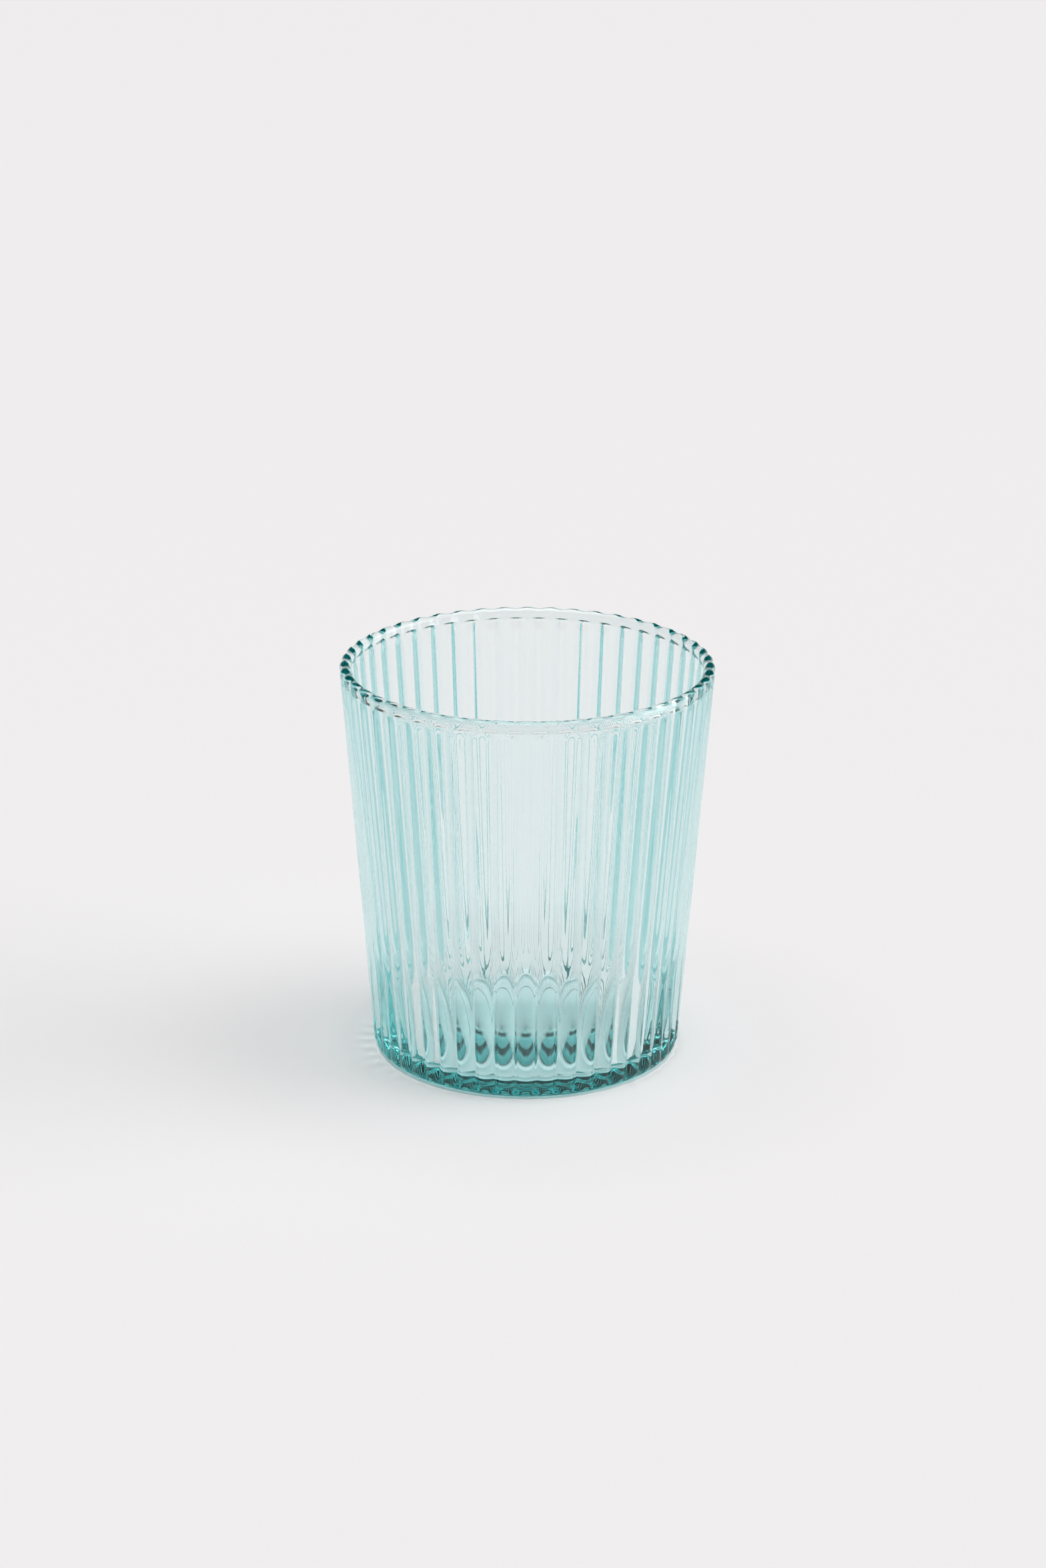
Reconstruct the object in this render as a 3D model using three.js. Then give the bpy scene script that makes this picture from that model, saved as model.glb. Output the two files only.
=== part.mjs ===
// A ribbed water glass, in millimetres, with +Z up and the table at z = 0.
// The glass is round about the Z axis: ribbed outside, smooth inside, with a thick base and a rounded lip.
// It is one piece of glass, held here as its base, its ribbed wall and its rim, which meet face to face.
import * as THREE from "three";

// Overall sizes
const HEIGHT = 93.5;
const RIM_DIAMETER = 86;
const FOOT_DIAMETER = 71.3; // where the straight wall would reach the table

// Thickness of the glass
const WALL_THICKNESS = 2.6; // from the crest of a rib to the smooth inside
const FLOOR_THICKNESS = 4.2; // at the foot of the inner wall
const FLOOR_CROWN = 2; // how far the floor swells up in the middle

// Rounded edges
const HEEL_RADIUS = 3.6;
const FLOOR_FILLET = 3;

// Underside: a round recess, then a flat ring to stand on that reaches to the heel
const RECESS_RADIUS = 25.5;
const RECESS_STEP = 4.5; // width of the sloping edge of the recess
const RECESS_DEPTH = 1.5;
const RECESS_BULGE = 1.3; // how far the recess swells down in the middle
const SWELL_POWER = 1.05; // 1 swells as a cone, 2 as a dome

// Ribs: rounded, side by side, with a groove between each two
const RIB_COUNT = 48;
const RIB_ARC = THREE.MathUtils.degToRad(52); // slope of a rib where it meets the groove
const GROOVE_DEPTH = 1.25;
const GROOVE_START = 0.8; // height over the table where a groove starts on the heel
const GROOVE_START_FADE = 1.6; // height over which it deepens from there
const GROOVE_END = 1.4; // height of the rounded upper end of a groove
const RIM_BAND = 2.6; // height of the lip above the grooves
const LIP_WAVE = 0.35; // how far each groove still shows on the outside of the lip

// Fineness of the facets
const FACETS_PER_RIB = 4;
const HEEL_STEPS = 5;
const FILLET_STEPS = 4;
const SWELL_STEPS = 3;
const GROOVE_END_STEPS = 3;
const LIP_STEPS = 4; // on each side of the lip

// The straight wall runs from the foot circle to the widest circle of the lip.
const RIM_RADIUS = RIM_DIAMETER / 2;
const FOOT_RADIUS = FOOT_DIAMETER / 2;
const LIP_RADIUS = WALL_THICKNESS / 2;
const LIP_CENTRE_Z = HEIGHT - LIP_RADIUS;
const TAPER = Math.atan2(RIM_RADIUS - FOOT_RADIUS, LIP_CENTRE_Z);
const RIM_START_Z = HEIGHT - RIM_BAND;
const GROOVE_TOP_Z = RIM_START_Z - GROOVE_END;

const outerRadius = (z) => FOOT_RADIUS + z * Math.tan(TAPER);
const innerRadius = (z) => outerRadius(z) - WALL_THICKNESS / Math.cos(TAPER);

// A profile point, with how deep the grooves and the wave of the lip are pressed into the outside there
const point = (r, z, groove = 0, wave = 0) => ({ r, z, groove, wave });

// Points on an arc about a centre, where an angle of 0 points away from the axis
function arc(centre, radius, from, to, steps) {
  return Array.from({ length: steps + 1 }, (_, i) => {
    const angle = from + ((to - from) * i) / steps;
    return point(centre.r + radius * Math.cos(angle), centre.z + radius * Math.sin(angle));
  });
}

// Points from the axis outwards to a radius, swelling by a height from there to the middle
function swelling(radius, edgeZ, swell) {
  return Array.from({ length: SWELL_STEPS + 1 }, (_, i) => {
    const share = i / SWELL_STEPS;
    return point(radius * share, edgeZ + swell * (1 - share ** SWELL_POWER));
  });
}

// Heel: an arc that leaves the level underside and meets the wall
const heelCentre = point(outerRadius(HEEL_RADIUS) - HEEL_RADIUS / Math.cos(TAPER), HEEL_RADIUS);
const heelArc = arc(heelCentre, HEEL_RADIUS, -Math.PI / 2, -TAPER, HEEL_STEPS);

// Floor fillet: an arc that leaves the inner wall and turns level at the edge of the floor
const filletCentreZ = FLOOR_THICKNESS + FLOOR_FILLET;
const filletCentre = point(innerRadius(filletCentreZ) - FLOOR_FILLET / Math.cos(TAPER), filletCentreZ);
const fillet = arc(filletCentre, FLOOR_FILLET, -TAPER, -Math.PI / 2, FILLET_STEPS);
const WALL_START_Z = fillet[0].z;

// A groove deepens as it comes up from the heel, and ends in a quarter round under the rim.
function grooveDepth(z) {
  const fromTop = THREE.MathUtils.clamp((RIM_START_Z - z) / GROOVE_END, 0, 1);
  const fromHeel = THREE.MathUtils.smoothstep(z, GROOVE_START, GROOVE_START + GROOVE_START_FADE);
  return GROOVE_DEPTH * Math.sqrt(1 - (1 - fromTop) ** 2) * fromHeel;
}

// The wave of the lip grows while the groove ends.
const waveDepth = (z) => LIP_WAVE * THREE.MathUtils.smoothstep(z, GROOVE_TOP_Z, RIM_START_Z);

const ribbed = ({ r, z }) => point(r, z, grooveDepth(z), waveDepth(z));

// Share of the groove depth at a place across the ribs: 0 on a crest and 1 in the groove, along a round rib
function ribShape(ribs) {
  const fromCrest = 2 * Math.abs(ribs - Math.round(ribs));
  const fall = 1 - Math.sqrt(1 - (fromCrest * Math.sin(RIB_ARC)) ** 2);
  return fall / (1 - Math.cos(RIB_ARC));
}

// Share of the wave of the lip at a place across the ribs, softened by the flame
const waveShape = (ribs) => (1 - Math.cos(2 * Math.PI * ribs)) / 2;

// Turns a profile about the Z axis and presses the grooves into it.
function revolve(profile) {
  const segments = RIB_COUNT * FACETS_PER_RIB;
  const outline = profile.map(({ r, z }) => new THREE.Vector2(r, z));
  const geometry = new THREE.LatheGeometry(outline, segments);
  const position = geometry.getAttribute("position");
  for (let i = 0; i < position.count; i += 1) {
    const { r, z, groove, wave } = profile[i % profile.length];
    const turn = Math.floor(i / profile.length) / segments;
    const ribs = turn * RIB_COUNT;
    const pressed = r - groove * ribShape(ribs) - wave * waveShape(ribs);
    const angle = turn * 2 * Math.PI;
    position.setXYZ(i, pressed * Math.sin(angle), z, pressed * Math.cos(angle));
  }
  geometry.rotateX(Math.PI / 2);
  geometry.computeVertexNormals();
  return geometry;
}

function baseGeometry() {
  const recess = swelling(RECESS_RADIUS - RECESS_STEP, RECESS_DEPTH, -RECESS_BULGE);
  const heel = heelArc.map(ribbed);
  const top = ribbed(point(outerRadius(WALL_START_Z), WALL_START_Z));
  const floor = swelling(filletCentre.r, FLOOR_THICKNESS, FLOOR_CROWN).reverse();
  return revolve([...recess, point(RECESS_RADIUS, 0), ...heel, top, ...fillet, ...floor.slice(1)]);
}

function ribbedWallGeometry() {
  const outside = [ribbed(point(outerRadius(WALL_START_Z), WALL_START_Z))];
  for (let i = 0; i <= GROOVE_END_STEPS; i += 1) {
    const angle = ((i / GROOVE_END_STEPS) * Math.PI) / 2;
    const z = GROOVE_TOP_Z + GROOVE_END * Math.sin(angle);
    outside.push(ribbed(point(outerRadius(z), z)));
  }
  const inside = [RIM_START_Z, WALL_START_Z].map((z) => point(innerRadius(z), z));
  return revolve([...outside, ...inside, outside[0]]);
}

// The wave fades over the lip, from the outside to the inside.
function rimGeometry() {
  const lipCentre = point(outerRadius(LIP_CENTRE_Z) - LIP_RADIUS / Math.cos(TAPER), LIP_CENTRE_Z);
  const outerLip = arc(lipCentre, LIP_RADIUS, -TAPER, Math.PI / 2, LIP_STEPS);
  const innerLip = arc(lipCentre, LIP_RADIUS, Math.PI / 2, Math.PI - TAPER, LIP_STEPS);
  const lip = [...outerLip, ...innerLip.slice(1)].map(({ r, z }, i, all) => {
    const across = i / (all.length - 1);
    return point(r, z, 0, LIP_WAVE * Math.cos((across * Math.PI) / 2) ** 2);
  });
  const outside = ribbed(point(outerRadius(RIM_START_Z), RIM_START_Z));
  const inside = point(innerRadius(RIM_START_Z), RIM_START_Z);
  return revolve([outside, ...lip, inside, outside]);
}

// Clear aqua glass, smooth all over. The thick base looks deeper in colour than the wall.
function glass(color, opacity) {
  return new THREE.MeshStandardMaterial({
    color,
    roughness: 0.03,
    metalness: 0,
    transparent: true,
    opacity,
  });
}

function mesh(name, geometry, material) {
  const made = new THREE.Mesh(geometry, material);
  made.name = name;
  return made;
}

const waterGlass = new THREE.Group();
waterGlass.name = "water_glass";
waterGlass.add(
  mesh("base", baseGeometry(), glass(0x5aa09d, 0.7)),
  mesh("ribbed_wall", ribbedWallGeometry(), glass(0xa6c6c8, 0.4)),
  mesh("rim", rimGeometry(), glass(0xb4d2d3, 0.45)),
);

export default waterGlass;
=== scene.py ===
# %% [markdown]
# # A ribbed water glass
#
# The object is a drinking glass in pale aqua glass. Forty-eight rounded ribs run up the outside, the inside
# only follows them softly, and the base is thick. Nearly all that the eye sees in such a glass is bent light,
# so the shape has to be right where nobody looks: the floor, the underside and the lip.
#
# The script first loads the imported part, which gives the place and the size that the picture has to keep.

# %% Load the frame
import math

import bpy
import numpy as np
from mathutils import Matrix


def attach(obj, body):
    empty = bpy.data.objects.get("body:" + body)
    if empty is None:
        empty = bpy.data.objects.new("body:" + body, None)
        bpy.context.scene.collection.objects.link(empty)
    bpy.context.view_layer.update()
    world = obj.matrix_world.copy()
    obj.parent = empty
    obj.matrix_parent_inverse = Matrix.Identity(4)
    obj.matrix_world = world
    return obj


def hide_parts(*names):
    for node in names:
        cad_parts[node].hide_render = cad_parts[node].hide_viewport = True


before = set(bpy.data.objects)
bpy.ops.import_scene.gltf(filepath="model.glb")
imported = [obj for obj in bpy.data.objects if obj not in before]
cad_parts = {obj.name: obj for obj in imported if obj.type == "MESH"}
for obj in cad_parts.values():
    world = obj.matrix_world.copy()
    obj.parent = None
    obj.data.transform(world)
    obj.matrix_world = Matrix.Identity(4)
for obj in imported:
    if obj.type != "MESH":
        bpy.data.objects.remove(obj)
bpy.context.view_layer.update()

# %% [markdown]
# ## The main sizes
#
# Sizes are in millimetres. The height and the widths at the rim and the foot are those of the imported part,
# less a hair of room, because the lip is a little uneven and has to stay inside the box of the part.
#
# The wall leans out by less than five degrees. Its outer line runs straight from the foot to the lip, and the
# inner line is worked out from one at the same distance all the way.

# %% Main sizes
MM = 0.001
PART_HEIGHT = 93.5
RIM_DIAMETER = 86
FOOT_DIAMETER = 71.3
ROOM_ON_TOP = 0.02
ROOM_AT_SIDES = 0.015
HEIGHT = PART_HEIGHT - ROOM_ON_TOP
RIM_RADIUS = RIM_DIAMETER / 2 - ROOM_AT_SIDES
FOOT_RADIUS = FOOT_DIAMETER / 2 - ROOM_AT_SIDES
WALL = 2.6
LIP_RADIUS = WALL / 2
LIP_CENTRE = HEIGHT - LIP_RADIUS
TAPER = math.atan2(RIM_RADIUS - FOOT_RADIUS, LIP_CENTRE)


def outer_radius(z):
    return FOOT_RADIUS + z * math.tan(TAPER)


def inner_radius(z):
    return outer_radius(z) - WALL / math.cos(TAPER)


print("the wall leans out by", round(math.degrees(TAPER), 2), "degrees")

# %% [markdown]
# ## The ribs outside
#
# A rib is part of a circle in section, and two ribs meet in a narrow groove. The mould leaves a groove with
# rounded ends, one on the heel and one under the lip. Above it the flame that polishes the lip softens the
# ribs, so only a faint wave is left on the lip, which also sinks a little over each groove.
#
# How deep a groove is depends on the height. How it is shaped from side to side is the section, which goes
# from 0 on the crest of a rib to 1 in the groove.

# %% Grooves
RIBS = 48
GROOVE_DEPTH = 1.0
RIB_SLOPE = math.radians(42)
ROUND_FROM = 0.88
RIM_BAND = 2.6
RIM_START = HEIGHT - RIM_BAND
GROOVE_END = 1.4
GROOVE_TOP = RIM_START - GROOVE_END
GROOVE_START = 1.2
GROOVE_START_FADE = 2.0
LIP_WAVE = 0.35
LIP_DIP = 0.25


def smoothstep(value, start, end):
    share = min(max((value - start) / (end - start), 0.0), 1.0)
    return share * share * (3 - 2 * share)


def quarter_round(share):
    return math.sqrt(1 - (1 - min(max(share, 0.0), 1.0)) ** 2)


def groove_depth(z):
    to_end = quarter_round((RIM_START - z) / GROOVE_END)
    from_heel = quarter_round((z - GROOVE_START) / GROOVE_START_FADE)
    return GROOVE_DEPTH * to_end * from_heel


def lip_wave(z):
    return LIP_WAVE * smoothstep(z, GROOVE_TOP, RIM_START)


def rib_section(across):
    """A circle from the crest, which turns into a small round near the bottom of the groove."""
    sine = math.sin(RIB_SLOPE)
    on_circle = np.minimum(across, ROUND_FROM)
    fall = 1 - np.sqrt(1 - (on_circle * sine) ** 2)
    slope = ROUND_FROM * sine**2 / math.sqrt(1 - (ROUND_FROM * sine) ** 2)
    past = np.maximum(across - ROUND_FROM, 0)
    fall = fall + slope * (past - past**2 / (2 * (1 - ROUND_FROM)))
    return fall / fall.max()


print("a rib is", round(2 * math.pi * RIM_RADIUS / RIBS, 2), "mm wide at the lip")

# %% [markdown]
# ## The wave inside
#
# Blown glass follows its mould, so the inside shows each groove again as a soft wave. With it the wall is
# nearly even in thickness and bends light less: seen from the front it is clear, and each rib at the side has
# a teal line. Near the thick base the wave fades out, and there each rib is a lens that shows its own small
# oval of the floor.

# %% Inner wave
INNER_WAVE = 0.75
INNER_WAVE_FROM_LIP = 4
INNER_WAVE_FULL = 40
INNER_WAVE_START = 21


def inner_wave(z):
    under_lip = smoothstep(LIP_CENTRE - z, 0, INNER_WAVE_FROM_LIP)
    return INNER_WAVE * under_lip * smoothstep(z, INNER_WAVE_START, INNER_WAVE_FULL)


def wave_section(across):
    return (1 - np.cos(math.pi * across)) / 2


print("the wave takes up", round(INNER_WAVE / GROOVE_DEPTH, 2), "of the depth of a groove")

# %% [markdown]
# ## The profile: helpers
#
# A glass like this is made by turning one closed outline about its axis. The outline starts in the middle of
# the underside, runs out over the recess and the ring that the glass stands on, up the outside, over the lip,
# and down the inside to the middle of the floor.
#
# Each point carries how deep the groove and the wave are there, how far the lip sinks over a groove, and how
# much the hand of the maker shows. Points are close together only where something bends.

# %% Profile helpers
profile = []


def add_point(r, z, groove=0.0, wave=0.0, dip=0.0, uneven=0.0):
    profile.append((r, z, groove, wave, dip, uneven))


def arc(centre, radius, start, end, steps):
    """Points on an arc. An angle of 0 points away from the axis."""
    for i in range(steps + 1):
        angle = start + (end - start) * i / steps
        yield centre[0] + radius * math.cos(angle), centre[1] + radius * math.sin(angle)


def levels(start, *stretches):
    """Heights after a start, in even steps. Each stretch is the height that it ends on and its steps."""
    found = []
    for end, steps in stretches:
        found += [start + (end - start) * i / steps for i in range(1, steps + 1)]
        start = end
    return found


# %% [markdown]
# ## The profile: underside and heel
#
# The glass stands on a ring. Inside the ring the underside is a shallow recess, which swells down a little in
# the middle. The far edge of the recess is what draws the arches in the ribs, so it is narrow and low.

# %% Underside and heel
RECESS_RADIUS = 24.0
RECESS_EDGE = 1.5
RECESS_DEPTH = 0.4
RECESS_BULGE = 0.35
SWELL = 1.45
RECESS_STEPS = 11
RECESS_EDGE_STEPS = 10
for i in range(RECESS_STEPS + 1):
    share = i / RECESS_STEPS
    swollen = RECESS_BULGE * (1 - share**SWELL)
    add_point((RECESS_RADIUS - RECESS_EDGE) * share, RECESS_DEPTH - swollen)
for i in range(1, RECESS_EDGE_STEPS + 1):
    share = i / RECESS_EDGE_STEPS
    add_point(RECESS_RADIUS - RECESS_EDGE * (1 - share), RECESS_DEPTH * (1 - smoothstep(share, 0, 1)))

HEEL_RADIUS = 2.6
HEEL_STEPS = 12
heel = (outer_radius(HEEL_RADIUS) - HEEL_RADIUS / math.cos(TAPER), HEEL_RADIUS)
for r, z in arc(heel, HEEL_RADIUS, -math.pi / 2, -TAPER, HEEL_STEPS):
    add_point(r, z, groove_depth(z))
print("the glass stands on a ring", round(heel[0] - RECESS_RADIUS, 1), "mm wide")

# %% [markdown]
# ## The profile: outside and lip
#
# The straight wall needs few points. Under the lip the grooves end, and over the lip the wave fades from the
# outside to the inside. The top of the lip is where the dip and the unevenness are strongest.

# %% Outside and lip
GROOVE_END_STEPS = 8
LIP_STEPS = 22
LIP_UNEVEN = 8
wall_start = profile[-1][1]
groove_full = GROOVE_START + GROOVE_START_FADE
for z in levels(wall_start, (groove_full, 2), (GROOVE_TOP, 3)):
    add_point(outer_radius(z), z, groove_depth(z))
for i in range(1, GROOVE_END_STEPS + 1):
    z = GROOVE_TOP + GROOVE_END * math.sin(i / GROOVE_END_STEPS * math.pi / 2)
    add_point(outer_radius(z), z, groove_depth(z), lip_wave(z))

lip = (outer_radius(LIP_CENTRE) - LIP_RADIUS / math.cos(TAPER), LIP_CENTRE)
for i, (r, z) in enumerate(arc(lip, LIP_RADIUS, -TAPER, math.pi - TAPER, LIP_STEPS)):
    share = i / LIP_STEPS
    on_top = math.sin(share * math.pi) ** 2
    wave = LIP_WAVE * math.cos(share * math.pi / 2) ** 2
    add_point(r, z, wave=wave, dip=LIP_DIP * on_top, uneven=LIP_UNEVEN * on_top)
print("the outside and the lip bring the profile to", len(profile), "points")

# %% [markdown]
# ## The profile: inside and floor
#
# Just under the lip the wall is thinner. The lip is left as a bead there, and light that runs up inside the
# wall leaves it before the edge, so the edge stays pale.
#
# The base is thickest in the middle, which throws the near half of the floor into deep teal. The unevenness
# of the inside fades towards the lip and towards the floor.

# %% Inside and floor
BEAD = 0.6
BEAD_HEIGHT = 2.2
HAND_FADE = 6
FLOOR_THICKNESS = 3.4
FLOOR_CROWN = 3.5
FLOOR_FILLET = 3.0
FILLET_STEPS = 8
FLOOR_STEPS = 11
fillet_z = FLOOR_THICKNESS + FLOOR_FILLET
fillet = (inner_radius(fillet_z) - FLOOR_FILLET / math.cos(TAPER), fillet_z)
top = profile[-1][1]
foot = fillet_z - FLOOR_FILLET * math.sin(TAPER)
under_lip = [(top - BEAD_HEIGHT, 8), (LIP_CENTRE - INNER_WAVE_FROM_LIP, 3)]
down_wall = [(INNER_WAVE_FULL, 3), (INNER_WAVE_START, 9), (foot, 3)]
for z in levels(top, *under_lip, *down_wall)[:-1]:
    back = BEAD * smoothstep(top - z, 0, BEAD_HEIGHT) * (z - foot) / (top - foot)
    by_hand = smoothstep(LIP_CENTRE - z, 0, HAND_FADE) * smoothstep(z, foot, foot + HAND_FADE)
    add_point(inner_radius(z) + back, z, wave=inner_wave(z), uneven=by_hand)

for r, z in arc(fillet, FLOOR_FILLET, -TAPER, -math.pi / 2, FILLET_STEPS):
    add_point(r, z)
for i in range(1, FLOOR_STEPS + 1):
    share = 1 - i / FLOOR_STEPS
    add_point(fillet[0] * share, FLOOR_THICKNESS + FLOOR_CROWN * (1 - share**SWELL))
print("the profile has", len(profile), "points")

# %% [markdown]
# ## One rib
#
# All ribs are alike, so it is enough to build the slice of glass under one of them, from one groove to the
# next. It is a grid: the profile runs along it, and the rib section bends it from side to side.

# %% Slice under one rib
COLUMNS = 18
r, z, groove, wave, dip, uneven = np.array(profile).T
across = np.abs(np.linspace(-1, 1, COLUMNS + 1))
ribbed = rib_section(across)
waved = wave_section(across)
turn = np.linspace(-0.5, 0.5, COLUMNS + 1) * 2 * math.pi / RIBS - math.pi / 2
radius = r[None] - np.outer(ribbed, groove) - np.outer(waved, wave)
height = z[None] - np.outer(waved, dip)
slice_points = np.stack(
    [radius * np.cos(turn)[:, None], radius * np.sin(turn)[:, None], height],
    axis=-1,
)
count = len(profile)
quads = [
    (a * count + b, (a + 1) * count + b, (a + 1) * count + b + 1, a * count + b + 1)
    for a in range(COLUMNS)
    for b in range(count - 1)
]
slice_mesh = bpy.data.meshes.new("rib slice")
slice_mesh.from_pydata((slice_points.reshape(-1, 3) * MM).tolist(), [], quads)
mask_values = slice_mesh.attributes.new("uneven", "FLOAT", "POINT")
mask_values.data.foreach_set("value", np.tile(uneven, COLUMNS + 1).astype(np.float32))
glass = bpy.data.objects.new("water_glass", slice_mesh)
bpy.context.scene.collection.objects.link(glass)
print("one slice has", len(quads), "faces")

# %% [markdown]
# ## A helper for nodes
#
# The material, the ring of ribs and the light are all built from nodes. One short function adds a node, sets
# its properties, and joins or sets its inputs.


# %% Node helper
def add_node(tree, kind, inputs=None, **properties):
    """Adds a node with its properties. Each input is joined to a socket or set to a value."""
    made = tree.nodes.new(kind)
    for name, value in properties.items():
        setattr(made, name, value)
    for name, value in (inputs or {}).items():
        if isinstance(value, bpy.types.NodeSocket):
            tree.links.new(value, made.inputs[name])
        else:
            made.inputs[name].default_value = value
    return made


# %% [markdown]
# ## The glass material
#
# The glass is tinted all through. Light that passes a thin wall keeps nearly all of its colour, and light
# that runs a long way inside the base comes out deep teal. A volume that absorbs red more than green and blue
# does the same. Soda-lime glass has an index of 1.52. Its surface is smooth, so it has no roughness.

# %% Glass material
ABSORBED_PER_METRE = (40.0, 11.5, 11.5)
GLASS_INDEX = 1.52
aqua = bpy.data.materials.new("aqua soda-lime glass")
aqua.use_nodes = True
tree = aqua.node_tree
surface = tree.nodes["Principled BSDF"]
surface.inputs["Base Color"].default_value = (1, 1, 1, 1)
surface.inputs["Roughness"].default_value = 0.0
surface.inputs["IOR"].default_value = GLASS_INDEX
surface.inputs["Transmission Weight"].default_value = 1.0
strongest = max(ABSORBED_PER_METRE)
tint_colour = (*(1 - value / strongest for value in ABSORBED_PER_METRE), 1)
tint = add_node(tree, "ShaderNodeVolumeAbsorption", {"Color": tint_colour, "Density": strongest})
tree.links.new(tint.outputs["Volume"], tree.nodes["Material Output"].inputs["Volume"])
red_kept = math.exp(-50 * MM * ABSORBED_PER_METRE[0])
print("after 50 mm of glass, red keeps", round(red_kept, 2), "of its light")

# %% [markdown]
# ## The ring: inputs
#
# Geometry Nodes turns the slice about the axis, once for each rib. The node group has named inputs, so that
# the number of ribs, the unevenness and the glass can be set from outside.

# %% Ring inputs
ring = bpy.data.node_groups.new("ring of ribs", "GeometryNodeTree")
ring.interface.new_socket("Slice", in_out="INPUT", socket_type="NodeSocketGeometry")
count_socket = ring.interface.new_socket("Rib count", in_out="INPUT", socket_type="NodeSocketInt")
uneven_socket = ring.interface.new_socket("Unevenness", in_out="INPUT", socket_type="NodeSocketFloat")
glass_socket = ring.interface.new_socket("Glass", in_out="INPUT", socket_type="NodeSocketMaterial")
ring.interface.new_socket("Glass body", in_out="OUTPUT", socket_type="NodeSocketGeometry")
given = add_node(ring, "NodeGroupInput")
print("the ring takes", len(given.outputs) - 1, "inputs")

# %% [markdown]
# ## The ring: turning the slice
#
# Each rib is a point with a number. Its share of a full turn becomes a rotation, and the slice is placed with
# that rotation. The slices are then made real, and points that fall together are merged into one closed skin.

# %% Turned slices
MERGE_WITHIN = 1e-6
rib_count = given.outputs["Rib count"]
points = add_node(ring, "GeometryNodePoints", {"Count": rib_count})
index = add_node(ring, "GeometryNodeInputIndex")
share = add_node(ring, "ShaderNodeMath", {0: index.outputs[0], 1: rib_count}, operation="DIVIDE")
angle = add_node(ring, "ShaderNodeMath", {0: share.outputs[0], 1: 2 * math.pi}, operation="MULTIPLY")
about_z = add_node(ring, "ShaderNodeCombineXYZ", {"Z": angle.outputs[0]})
rotation = add_node(ring, "FunctionNodeEulerToRotation", {"Euler": about_z.outputs[0]})
slices = add_node(
    ring,
    "GeometryNodeInstanceOnPoints",
    {"Points": points.outputs[0], "Instance": given.outputs["Slice"], "Rotation": rotation.outputs[0]},
)
real = add_node(ring, "GeometryNodeRealizeInstances", {"Geometry": slices.outputs[0]})
joined = add_node(
    ring, "GeometryNodeMergeByDistance", {"Geometry": real.outputs[0], "Distance": MERGE_WITHIN}
)
print("the ring has", len(ring.nodes), "nodes so far")

# %% [markdown]
# ## The ring: a little unevenness
#
# Glass finished by hand is never quite even. Noise with a long upright grain pushes the inside in and out by
# up to a few thousandths of a millimetre, and the top of the lip by up to two hundredths. The mask that was
# stored with the slice says where. At the end the skin is shaded smooth and gets its glass.

# %% Unevenness and output
GRAIN_PER_METRE = (150, 150, 20)
where = add_node(ring, "GeometryNodeInputPosition")
long_grain = add_node(
    ring, "ShaderNodeVectorMath", {0: where.outputs[0], 1: GRAIN_PER_METRE}, operation="MULTIPLY"
)
noise = add_node(
    ring, "ShaderNodeTexNoise", {"Vector": long_grain.outputs[0], "Scale": 1.0, "Detail": 1.0}
)
centred = add_node(ring, "ShaderNodeMath", {0: noise.outputs["Fac"], 1: 0.5}, operation="SUBTRACT")
mask = add_node(ring, "GeometryNodeInputNamedAttribute", {"Name": "uneven"}, data_type="FLOAT")
amount = add_node(
    ring, "ShaderNodeMath", {0: centred.outputs[0], 1: mask.outputs[0]}, operation="MULTIPLY"
)
offset = add_node(
    ring, "ShaderNodeMath", {0: amount.outputs[0], 1: given.outputs["Unevenness"]}, operation="MULTIPLY"
)
outward = add_node(ring, "GeometryNodeInputNormal")
push = add_node(
    ring, "ShaderNodeVectorMath", {0: outward.outputs[0], "Scale": offset.outputs[0]}, operation="SCALE"
)
moved = add_node(
    ring, "GeometryNodeSetPosition", {"Geometry": joined.outputs[0], "Offset": push.outputs[0]}
)
smooth = add_node(ring, "GeometryNodeSetShadeSmooth", {"Geometry": moved.outputs[0]})
painted = add_node(
    ring, "GeometryNodeSetMaterial", {"Geometry": smooth.outputs[0], "Material": given.outputs["Glass"]}
)
add_node(ring, "NodeGroupOutput", {"Glass body": painted.outputs[0]})
print("the finished ring has", len(ring.nodes), "nodes")

# %% [markdown]
# ## The ring: into a mesh
#
# The modifier gets its inputs by the identifiers of the sockets. What it makes is kept as a mesh of its own,
# and the modifier goes.

# %% Glass mesh
UNEVENNESS = 0.005
modifier = glass.modifiers.new("ring of ribs", "NODES")
modifier.node_group = ring
modifier[count_socket.identifier] = RIBS
modifier[uneven_socket.identifier] = UNEVENNESS * MM
modifier[glass_socket.identifier] = aqua
evaluated = glass.evaluated_get(bpy.context.evaluated_depsgraph_get())
glass_mesh = bpy.data.meshes.new_from_object(evaluated)
glass.modifiers.remove(modifier)
glass.data = glass_mesh
glass_mesh.name = "water_glass"
sides = np.zeros(len(glass_mesh.polygons), dtype=np.int32)
glass_mesh.polygons.foreach_get("loop_total", sides)
print("the glass has", int((sides - 2).sum()), "triangles")

# %% [markdown]
# ## Into the frame
#
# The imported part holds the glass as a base, a wall and a rim. In clear glass a seam between them would show,
# so one unbroken piece of glass stands for all three.

# %% Into the frame
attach(glass, "root")
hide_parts("base", "ribbed_wall", "rim")

# %% [markdown]
# ## The floor
#
# The glass stands on a pale, matt surface. The surface lies a hair under the glass, because real glass
# touches a table only in a few points and the thin layer of air under it mirrors light back into the base.


# %% Floor
def linear(hex_colour):
    """Linear colour from an sRGB hex value."""
    parts = [int(hex_colour[i : i + 2], 16) / 255 for i in (1, 3, 5)]
    return (*(c / 12.92 if c <= 0.04045 else ((c + 0.055) / 1.055) ** 2.4 for c in parts), 1)


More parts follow.
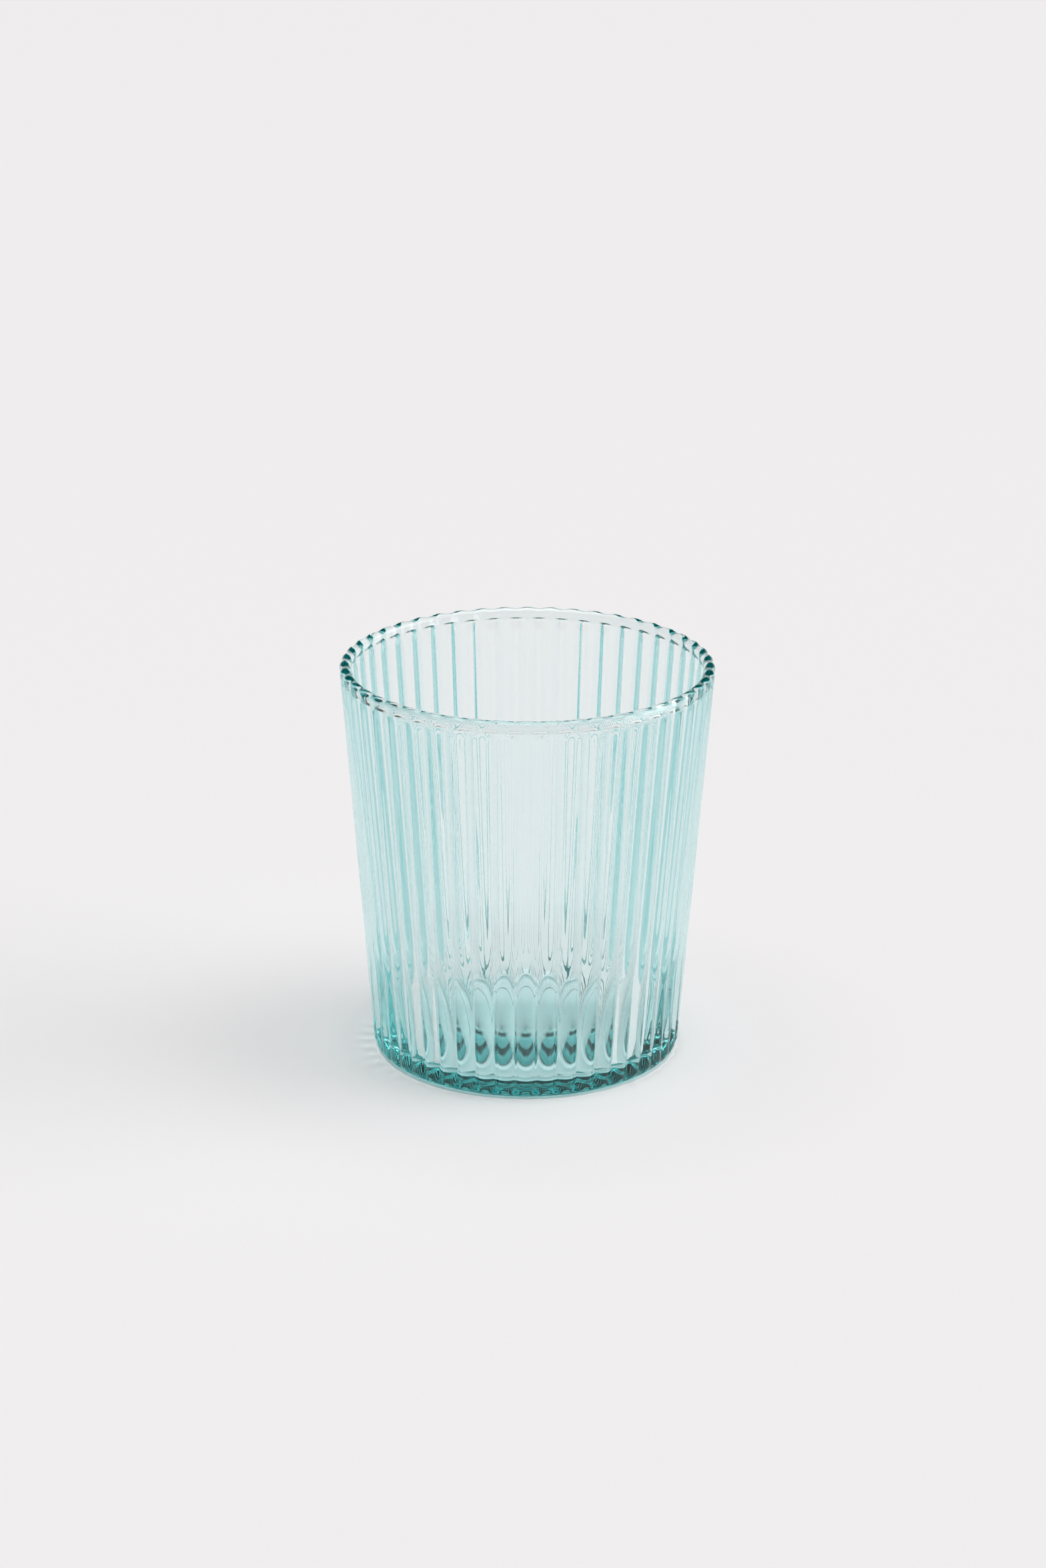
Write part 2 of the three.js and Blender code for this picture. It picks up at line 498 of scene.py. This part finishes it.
PAPER_WHITE = "#e8e6e7"
AIR_GAP = 0.08 * MM
STAGE_SIZE = 12.0
half = STAGE_SIZE / 2
floor_mesh = bpy.data.meshes.new("floor")
floor_mesh.from_pydata(
    [(-half, -half, -AIR_GAP), (half, -half, -AIR_GAP), (half, half, -AIR_GAP), (-half, half, -AIR_GAP)],
    [],
    [(0, 1, 2, 3)],
)
floor = bpy.data.objects.new("floor", floor_mesh)
bpy.context.scene.collection.objects.link(floor)
paper = bpy.data.materials.new("matt white paper")
paper.use_nodes = True
paper_surface = paper.node_tree.nodes["Principled BSDF"]
paper_surface.inputs["Base Color"].default_value = linear(PAPER_WHITE)
paper_surface.inputs["Roughness"].default_value = 0.95
paper_surface.inputs["Specular IOR Level"].default_value = 0.1
floor_mesh.materials.append(paper)
print("the floor is", STAGE_SIZE, "m wide")

# %% [markdown]
# ## The light
#
# Clear glass shows what is around it. A soft light hangs over the table and a wide one stands low on the
# right, which throws the long pale shadow to the left. A low white wall stands behind the table and keeps the
# near lip pale. The rest of the room is dark, and that is what draws the dark lines in the lip and makes the
# base so deep in colour.
#
# Each light is a patch of the sky. A patch starts where the cosine of the angle to its direction passes an
# edge value, and reaches its strength at a full value.

# %% Patches of light
world = bpy.data.worlds.new("dim room")
bpy.context.scene.world = world
world.use_nodes = True
sky = world.node_tree
view = add_node(sky, "ShaderNodeTexCoord")


def soft_patch(direction, strength, edge=0.79, full=0.99, flat=1.0):
    """Light from around a direction. A patch with a high flat value is wide and low."""
    length = math.sqrt(sum(v * v for v in direction))
    towards = tuple(v / length for v in direction)
    squeezed = add_node(
        sky, "ShaderNodeVectorMath", {0: view.outputs["Generated"], 1: (1, 1, flat)}, operation="MULTIPLY"
    )
    unit = add_node(sky, "ShaderNodeVectorMath", {0: squeezed.outputs[0]}, operation="NORMALIZE")
    facing = add_node(
        sky, "ShaderNodeVectorMath", {0: unit.outputs[0], 1: towards}, operation="DOT_PRODUCT"
    )
    cosines = {"Value": facing.outputs["Value"], "From Min": edge, "From Max": full}
    patch = add_node(
        sky,
        "ShaderNodeMapRange",
        {**cosines, "To Min": 0.0, "To Max": strength},
        interpolation_type="SMOOTHSTEP",
    )
    return patch.outputs["Result"]


over_table = soft_patch((0.0, 0.0, 1.0), strength=3.9)
from_right = soft_patch((1.0, 0.0, 0.25), strength=2.9)
higher_right = soft_patch((1.0, 0.0, 1.1), strength=0.7)
from_back = soft_patch((0.0, 1.0, 0.0), strength=0.85, edge=0.5, full=0.75, flat=5.0)
total = over_table
for patch in (from_right, higher_right, from_back):
    total = add_node(sky, "ShaderNodeMath", {0: total, 1: patch}, operation="ADD").outputs[0]
glow = sky.nodes["Background"]
glow.inputs["Color"].default_value = (1, 1, 1, 1)
sky.links.new(total, glow.inputs["Strength"])
print("the sky has", sum(n.bl_idname == "ShaderNodeMapRange" for n in sky.nodes), "soft patches of light")

# %% [markdown]
# ## Light paths
#
# In thick glass light bounces many times before it leaves. With too few bounces the base would turn too dark,
# so the limit is high. Light that the glass bends onto the table is kept too. The Standard view shows the
# colours as they are.

# %% Light paths
BOUNCES = 96
cycles = bpy.context.scene.cycles
cycles.max_bounces = BOUNCES
cycles.transmission_bounces = BOUNCES
cycles.glossy_bounces = BOUNCES
cycles.caustics_refractive = True
cycles.caustics_reflective = True
cycles.blur_glossy = 0.0
bpy.context.scene.view_settings.view_transform = "Standard"
print("light may bounce", BOUNCES, "times")

# %% [markdown]
# ## The camera
#
# The picture is taken from about a metre away and from above, so that the rim opens into an oval. Angles are
# in degrees: the camera looks down, and it is turned and rolled by a fraction of a degree. The focal length is
# given in pixels of the picture, and the height of the sensor turns it into millimetres.

# %% Camera
FOCAL_PIXELS = 6344.4
PICTURE_HEIGHT = 2351
SENSOR_HEIGHT = 36
CAMERA_BACK = 0.91908
CAMERA_UP = 0.39666
LOOK_DOWN = 19.91
TURN = 0.056
ROLL = 0.2133
camera_data = bpy.data.cameras.new("camera")
camera_data.sensor_fit = "VERTICAL"
camera_data.sensor_height = SENSOR_HEIGHT
camera_data.lens = FOCAL_PIXELS * SENSOR_HEIGHT / PICTURE_HEIGHT
camera_data.clip_start = 0.01
camera = bpy.data.objects.new("camera", camera_data)
bpy.context.scene.collection.objects.link(camera)
camera.location = (0, -CAMERA_BACK, CAMERA_UP)
turned = Matrix.Rotation(math.radians(TURN), 3, "Z")
tilted = Matrix.Rotation(math.radians(90 - LOOK_DOWN), 3, "X")
rolled = Matrix.Rotation(math.radians(ROLL), 3, "Z")
camera.rotation_euler = (turned @ tilted @ rolled).to_euler()
bpy.context.scene.camera = camera
print("the lens is", round(camera_data.lens, 1), "mm long")
